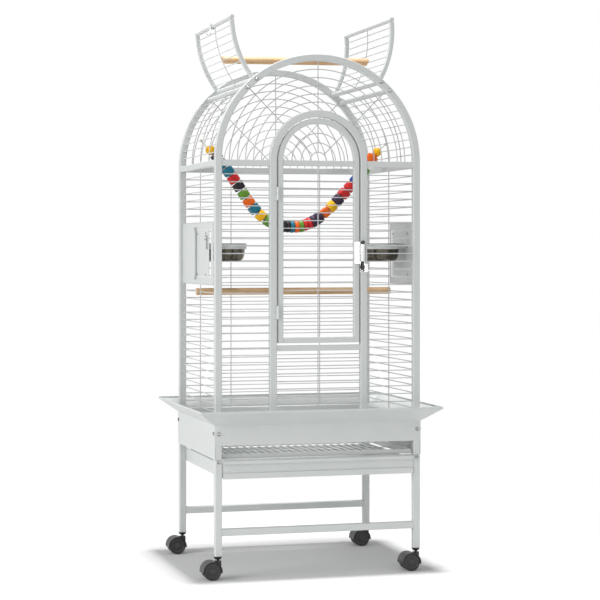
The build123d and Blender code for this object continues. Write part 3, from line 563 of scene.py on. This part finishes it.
def model_cube():
    """Square block with softened edges and a bore through it."""
    deselect()
    bpy.ops.mesh.primitive_cube_add(size=1.0)
    cube = newest("square_block")
    cube.scale = (cube_width, cube_width, bead_length)
    settle(cube)
    edit(cube, "EDGE")
    bpy.ops.mesh.select_all(action="SELECT")
    bpy.ops.mesh.bevel(offset=cube_rounding, segments=3, affect="EDGES")
    bpy.ops.mesh.select_mode(type="FACE")
    ends = 0.49 * bead_length
    pick(cube, "polygons", lambda f: abs(f.center.z) > ends and abs(f.normal.z) > 0.99)
    bpy.ops.mesh.inset(thickness=cube_width / 2 - cube_rounding - bead_bore, use_individual=True)
    bpy.ops.mesh.bridge_edge_loops()
    close(cube)
    return cube


def model_ball():
    """Round bead cut flat at both ends of its bore."""
    deselect()
    bpy.ops.mesh.primitive_uv_sphere_add(segments=32, ring_count=20, radius=ball_radius)
    ball = newest("round_block")
    edit(ball, "FACE")
    cut = math.sqrt(ball_radius**2 - (2 * bead_bore) ** 2)
    for face in (-1, 1):
        bpy.ops.mesh.select_all(action="SELECT")
        bpy.ops.mesh.bisect(
            plane_co=(0, 0, face * cut), plane_no=(0, 0, face), use_fill=True, clear_outer=True
        )
    pick(ball, "polygons", lambda f: abs(f.center.z) > 0.99 * cut and abs(f.normal.z) > 0.99)
    bpy.ops.mesh.inset(thickness=bead_bore, use_individual=True)
    bpy.ops.mesh.bridge_edge_loops()
    close(ball)
    return ball


def toy_blocks():
    """Discs, square blocks and end balls along the cord, one piece to a paint."""
    shapes = {
        "disc": turned_ring("disc_block", bead_bore, disc_radius, bead_length, disc_rounding),
        "thin": turned_ring("thin_block", bead_bore, thin_spread * disc_radius, thin_length, thin_rounding),
        "cube": model_cube(),
        "ball": model_ball(),
    }
    strung = {}
    for i, (count, shape, paint) in enumerate(toy_string):
        spin = Matrix.Rotation(math.radians(11 * ((7 * i) % 5 - 2)), 4, "Z")
        size = 1.0 - 0.02 * ((3 * i) % 4)
        block = copy_to(shapes[shape], "block_%02d" % i, along_cord(count) @ spin @ Matrix.Scale(size, 4))
        strung.setdefault(paint, []).append(block)
    for shape in shapes.values():
        bpy.data.objects.remove(shape)
    pieces = []
    for paint, blocks in strung.items():
        piece = join(blocks, "toy_blocks_" + paint)
        finish = painted_wood("paint_" + paint, paints[paint])
        pieces.append(dress(piece, finish, "frame", "painted_wood", "toy_blocks"))
    return pieces


def toy_chain():
    """Clear chain: one oval link, drawn out of a ring and copied down in turn."""
    ring = (link_width - chain_wire) / 2
    deselect()
    bpy.ops.mesh.primitive_torus_add(
        major_radius=ring,
        minor_radius=chain_wire / 2,
        major_segments=24,
        minor_segments=10,
        rotation=(math.pi / 2, 0, 0),
    )
    link = newest("chain_link")
    settle(link)
    edit(link, "VERT")
    pick(link, "vertices", lambda v: v.co.z < -1e-6)
    bpy.ops.transform.translate(value=(0, 0, link_width - link_length))
    close(link)
    seat = along_cord(chain_place)
    slope = abs(seat.col[2].x)
    rise = ((cord_diameter + chain_wire) / 2 + 0.0003) / slope
    top = seat.translation + Vector((0, 0, rise - ring))
    links = []
    for i in range(chain_links):
        turn = Matrix.Rotation(math.pi / 2 if i % 2 == 0 else 0.0, 4, "Z")
        links.append(copy_to(link, "link_%d" % i, Matrix.Translation(top) @ turn))
        top = top - Vector((0, 0, link_step))
    bpy.data.objects.remove(link)
    return dress(join(links, "clear_chain"), clear_chain, "frame", "clear_plastic", "toy_hangers")


def cord_knots():
    """Cord wrapped round the roof wire at each end, with the knot pulled up under it."""
    wraps = []
    ends = (cord_points[0], cord_points[-1])
    for (x, z), end in zip(tie_points, ends):
        for y in (-0.0026, 0.0, 0.0026):
            deselect()
            bpy.ops.mesh.primitive_torus_add(
                major_radius=0.0029,
                minor_radius=0.0014,
                major_segments=20,
                minor_segments=8,
                location=(x, toy_plane + y, z),
                rotation=(math.pi / 2, 0.12, 0.0),
            )
            wrap = newest("cord_wrap")
            settle(wrap)
            wraps.append(wrap)
        deselect()
        middle = Vector((x, toy_plane, z)).lerp(end, 0.75)
        bpy.ops.mesh.primitive_ico_sphere_add(subdivisions=3, radius=0.0036, location=middle)
        knot = newest("cord_knot")
        edit(knot, "VERT")
        pick(knot, "vertices", lambda v: v.index % 4 == 0)
        bpy.ops.transform.shrink_fatten(value=-0.0005)
        close(knot, 80.0)
        settle(knot)
        wraps.append(knot)
    piece = join(wraps, "cord_knots")
    deselect()
    piece.select_set(True)
    bpy.ops.object.shade_smooth()
    return dress(piece, cotton, "frame", "cord", "toy_hangers")


block_pieces = toy_blocks()
chain_piece = toy_chain()
knot_piece = cord_knots()
dress(cord_piece, cotton, "frame", "cord", "toy_cord")


# Caster wheels


def model_wheel():
    """Wheel with a crowned tread, a dished face and a hub cap, outer face towards +Y."""
    deselect()
    bpy.ops.mesh.primitive_cylinder_add(
        vertices=56, radius=wheel_radius, depth=wheel_width, rotation=(-math.pi / 2, 0, 0)
    )
    wheel = newest("wheel")
    settle(wheel)
    half = wheel_width / 2
    edit(wheel, "EDGE")

    def on_rim(edge):
        return all(abs(abs(wheel.data.vertices[v].co.y) - half) < 1e-5 for v in edge.vertices)

    pick(wheel, "edges", on_rim)
    bpy.ops.mesh.bevel(offset=0.003, segments=4, affect="EDGES")
    bpy.ops.mesh.select_mode(type="FACE")
    pick(wheel, "polygons", lambda f: f.center.y > 0.99 * half and f.normal.y > 0.99)
    bpy.ops.mesh.inset(thickness=0.0022)
    bpy.ops.mesh.inset(thickness=0.0012, depth=-0.0016)
    bpy.ops.mesh.inset(thickness=0.0070, depth=-0.0006)
    bpy.ops.mesh.inset(thickness=0.0010, depth=0.0022)
    bpy.ops.mesh.inset(thickness=0.0035, depth=0.0006)
    close(wheel)
    return wheel


def caster_wheels():
    """A pair of wheels and the axle between them at each leg."""
    wheel = model_wheel()
    offset = wheel_gap + wheel_width / 2
    for name, (side, face) in corners.items():
        middle = Vector((side * post_x - caster_trail, face * post_y, wheel_radius))
        pair = []
        for way in (-1, 1):
            turn = Matrix.Rotation(0.0 if way > 0 else math.pi, 4, "Z")
            seat = Matrix.Translation(middle + Vector((0, way * offset, 0)))
            pair.append(copy_to(wheel, "wheel_%s_%d" % (name, way), seat @ turn))
        deselect()
        bpy.ops.mesh.primitive_cylinder_add(
            vertices=20, radius=0.003, depth=2 * wheel_gap, location=middle, rotation=(math.pi / 2, 0, 0)
        )
        axle = newest("axle_" + name)
        edit(axle, "EDGE")
        bpy.ops.mesh.select_all(action="SELECT")
        bpy.ops.mesh.bevel(offset=0.0003, segments=1, affect="EDGES")
        close(axle)
        settle(axle)
        pair.append(axle)
        piece = join(pair, "twin_wheels_" + name)
        dress(piece, wheel_plastic, "wheels_" + name, "wheel_plastic", "caster_wheels_" + name)
    bpy.data.objects.remove(wheel)


caster_wheels()


# Feed bowls


def draw_up(name, rings, vertices=64):
    """Open shell of revolution: a circle drawn up through (radius, height) rings about Z."""
    deselect()
    bpy.ops.mesh.primitive_circle_add(
        vertices=vertices, radius=rings[0][0], location=(0, 0, rings[0][1]), fill_type="NOTHING"
    )
    shell = newest(name)
    settle(shell)
    edit(shell, "EDGE")
    bpy.ops.mesh.select_all(action="SELECT")
    for (before, low), (after, high) in zip(rings, rings[1:]):
        bpy.ops.mesh.extrude_region_move(TRANSFORM_OT_translate={"value": (0, 0, high - low)})
        scale = after / before
        bpy.ops.transform.resize(value=(scale, scale, 1.0), center_override=(0, 0, high))
    return shell


def thicken(piece, thickness):
    """Give a shell its wall, inwards."""
    wall = piece.modifiers.new("wall", "SOLIDIFY")
    wall.thickness = thickness
    wall.offset = -1.0
    bpy.context.view_layer.objects.active = piece
    bpy.ops.object.modifier_apply(modifier="wall")


def feed_bowl(name, centre):
    """Spun steel bowl with a rolled rim, a rounded body and a black rubber foot."""
    bowl = draw_up(name + "_steel", bowl_rings)
    foot_height = bowl_rings[0][1]

    def on_foot(edge):
        return all(bowl.data.vertices[v].co.z < foot_height + 1e-5 for v in edge.vertices)

    pick(bowl, "edges", on_foot)
    bpy.ops.mesh.edge_face_add()
    bpy.ops.mesh.inset(thickness=0.012, depth=0.0016)
    bpy.ops.mesh.inset(thickness=0.020)
    close(bowl, 50.0)
    thicken(bowl, bowl_wall)
    bowl.data.transform(Matrix.Translation(centre))
    dress(bowl, bowl_steel[name], "feed_" + name, "stainless", name)
    foot = turned_ring(name + "_foot", foot_inside, foot_outside, foot_tall, foot_rounding, 48)
    foot.data.transform(Matrix.Translation(Vector(centre) + Vector((0, 0, foot_height + foot_lift))))
    dress(foot, black_plastic, "feed_" + name, "black_plastic")


for bowl_name, bowl_centre in bowl_centres.items():
    feed_bowl(bowl_name, bowl_centre)


# Bolts and rivets


def model_bolt(radius, height):
    """Domed head with a short straight edge, standing on the origin along +Z."""
    deselect()
    bpy.ops.mesh.primitive_uv_sphere_add(segments=28, ring_count=18, radius=radius)
    head = newest("dome_head")
    edit(head, "FACE")
    bpy.ops.mesh.select_all(action="SELECT")
    bpy.ops.mesh.bisect(plane_co=(0, 0, 0), plane_no=(0, 0, 1), use_fill=True, clear_inner=True)
    bpy.ops.mesh.select_all(action="SELECT")
    bpy.ops.transform.resize(value=(1.0, 1.0, 0.75 * height / radius), center_override=(0, 0, 0))
    pick(head, "polygons", lambda f: f.normal.z < -0.99)
    bpy.ops.mesh.extrude_region_move(TRANSFORM_OT_translate={"value": (0, 0, -0.25 * height)})
    bpy.ops.mesh.select_all(action="SELECT")
    bpy.ops.transform.translate(value=(0, 0, 0.25 * height))
    close(head, 40.0)
    return head


def seat_on(seat, outward):
    """Frame on a face, with Z pointing away from it."""
    turn = Vector((0, 0, 1)).rotation_difference(Vector(outward))
    return Matrix.Translation(seat) @ turn.to_matrix().to_4x4()


def bolt_seats():
    """Seats of the bolts on the legs and the roof arches, with the way out of each face."""
    seats = []
    for side, face in corners.values():
        front = face * (outer_y + apron_sheet)
        seats.append(((side * post_x, front, apron_bolt_height), (0, face, 0)))
        seats.append(((side * (outer_x + apron_sheet), face * post_y, apron_bolt_height), (side, 0, 0)))
        seats.append(((side * post_x, face * outer_y, runner_bolt_height), (0, face, 0)))
        for angle in roof_bolt_angles:
            turn = math.radians(angle)
            x = side * post_x * math.cos(turn)
            z = spring_height + post_x * math.sin(turn)
            seats.append(((x, face * outer_y, z), (0, face, 0)))
    return seats


def dome_heads(radius, height, seats, name, body, *replaced):
    """One piece of domed heads on their seats."""
    head = model_bolt(radius, height)
    heads = [copy_to(head, "head", seat_on(*seat)) for seat in seats]
    bpy.data.objects.remove(head)
    dress(join(heads, name), chrome, body, "chrome", *replaced)


dome_heads(bolt_radius, bolt_height, bolt_seats(), "bolt_heads", "frame", "frame_bolts")
for rivet_name, (rivet_side, rivet_places) in feeder_rivets.items():
    rivet_seats = [
        ((rivet_side * post_x + way * plate_half, y, z), (way, 0, 0))
        for y, z in rivet_places
        for way in (-1, 1)
    ]
    dome_heads(rivet_radius, rivet_height, rivet_seats, "rivets_" + rivet_name, "feeder_" + rivet_name)


# Stage, light and camera


def stage_floor():
    """White floor that keeps the shadow near the cage and goes over into the white background."""
    deselect()
    bpy.ops.mesh.primitive_circle_add(vertices=96, radius=2.6, fill_type="NGON")
    floor = newest("studio_floor")
    material = bpy.data.materials.new("studio_floor")
    material.use_nodes = True
    tree = material.node_tree
    tree.nodes.clear()
    matte = place(tree, "ShaderNodeBsdfDiffuse", {"Color": (0.64, 0.64, 0.64, 1.0)})
    glow = place(tree, "ShaderNodeEmission", {"Strength": 0.04})
    white = place(tree, "ShaderNodeEmission", {"Strength": 1.0})
    near = place(tree, "ShaderNodeAddShader")
    fade = place(tree, "ShaderNodeMixShader")
    out = place(tree, "ShaderNodeOutputMaterial")
    where = place(tree, "ShaderNodeTexCoord")
    reach = place(tree, "ShaderNodeVectorMath", operation="LENGTH")
    ramp = place(tree, "ShaderNodeMapRange", {"From Min": 0.75, "From Max": 1.5})
    link = tree.links.new
    link(where.outputs["Object"], reach.inputs[0])
    link(reach.outputs["Value"], ramp.inputs["Value"])
    link(matte.outputs["BSDF"], near.inputs[0])
    link(glow.outputs["Emission"], near.inputs[1])
    link(ramp.outputs["Result"], fade.inputs["Fac"])
    link(near.outputs["Shader"], fade.inputs[1])
    link(white.outputs["Emission"], fade.inputs[2])
    link(fade.outputs["Shader"], out.inputs["Surface"])
    floor.data.materials.append(material)


def white_world():
    """White to the eye and in metal and glass, and a soft even fill on the object."""
    world = bpy.data.worlds.new("white_studio")
    bpy.context.scene.world = world
    world.use_nodes = True
    tree = world.node_tree
    back = tree.nodes["Background"]
    back.inputs["Color"].default_value = (1.0, 1.0, 1.0, 1.0)
    path = place(tree, "ShaderNodeLightPath")
    seen = place(tree, "ShaderNodeMath", operation="MAXIMUM")
    through = place(tree, "ShaderNodeMath", operation="MAXIMUM")
    level = place(tree, "ShaderNodeMapRange", {"To Min": 0.42, "To Max": 1.0})
    link = tree.links.new
    link(path.outputs["Is Camera Ray"], seen.inputs[0])
    link(path.outputs["Is Glossy Ray"], seen.inputs[1])
    link(seen.outputs["Value"], through.inputs[0])
    link(path.outputs["Is Transmission Ray"], through.inputs[1])
    link(through.outputs["Value"], level.inputs["Value"])
    link(level.outputs["Result"], back.inputs["Strength"])


def soft_box(name, location, target, size, energy):
    """Square area lamp turned to a point."""
    lamp = bpy.data.lights.new(name, "AREA")
    lamp.shape = "SQUARE"
    lamp.size = size
    lamp.energy = energy
    piece = bpy.data.objects.new(name, lamp)
    bpy.context.scene.collection.objects.link(piece)
    piece.location = location
    aim = Vector(target) - Vector(location)
    piece.rotation_euler = aim.to_track_quat("-Z", "Y").to_euler()


def room_wall():
    """Dim wall behind the camera, which only polished metal sees."""
    deselect()
    turn = (math.pi / 2, 0, math.radians(camera_turn))
    bpy.ops.mesh.primitive_plane_add(size=1.0, location=(-2.2, -7.4, 0.75), rotation=turn)
    wall = newest("room_wall")
    wall.scale = (7.0, 1.3, 1.0)
    material = bpy.data.materials.new("room_wall")
    material.use_nodes = True
    shader = material.node_tree.nodes["Principled BSDF"]
    shader.inputs["Base Color"].default_value = (0.05, 0.042, 0.034, 1.0)
    shader.inputs["Roughness"].default_value = 0.9
    wall.data.materials.append(material)
    wall.visible_camera = False
    wall.visible_diffuse = False
    wall.visible_shadow = False


stage_floor()
white_world()
room_wall()
soft_box("top_box", (0.15, -0.15, 7.0), (0.15, -0.15, 0.0), 0.9, 560.0)
soft_box("left_box", (-4.0, -1.3, 1.9), (0.0, 0.0, 0.8), 2.2, 120.0)
soft_box("front_box", (0.6, -4.8, 1.5), (0.0, 0.0, 0.8), 2.0, 38.0)

camera = bpy.data.objects.new("camera", bpy.data.cameras.new("camera"))
bpy.context.scene.collection.objects.link(camera)
camera.location = camera_place
camera.rotation_euler = (math.pi / 2, 0.0, math.radians(camera_turn))
camera.data.sensor_width = 36.0
camera.data.lens = camera_lens
camera.data.shift_y = camera_drop
bpy.context.scene.camera = camera
bpy.context.scene.view_settings.view_transform = "Standard"
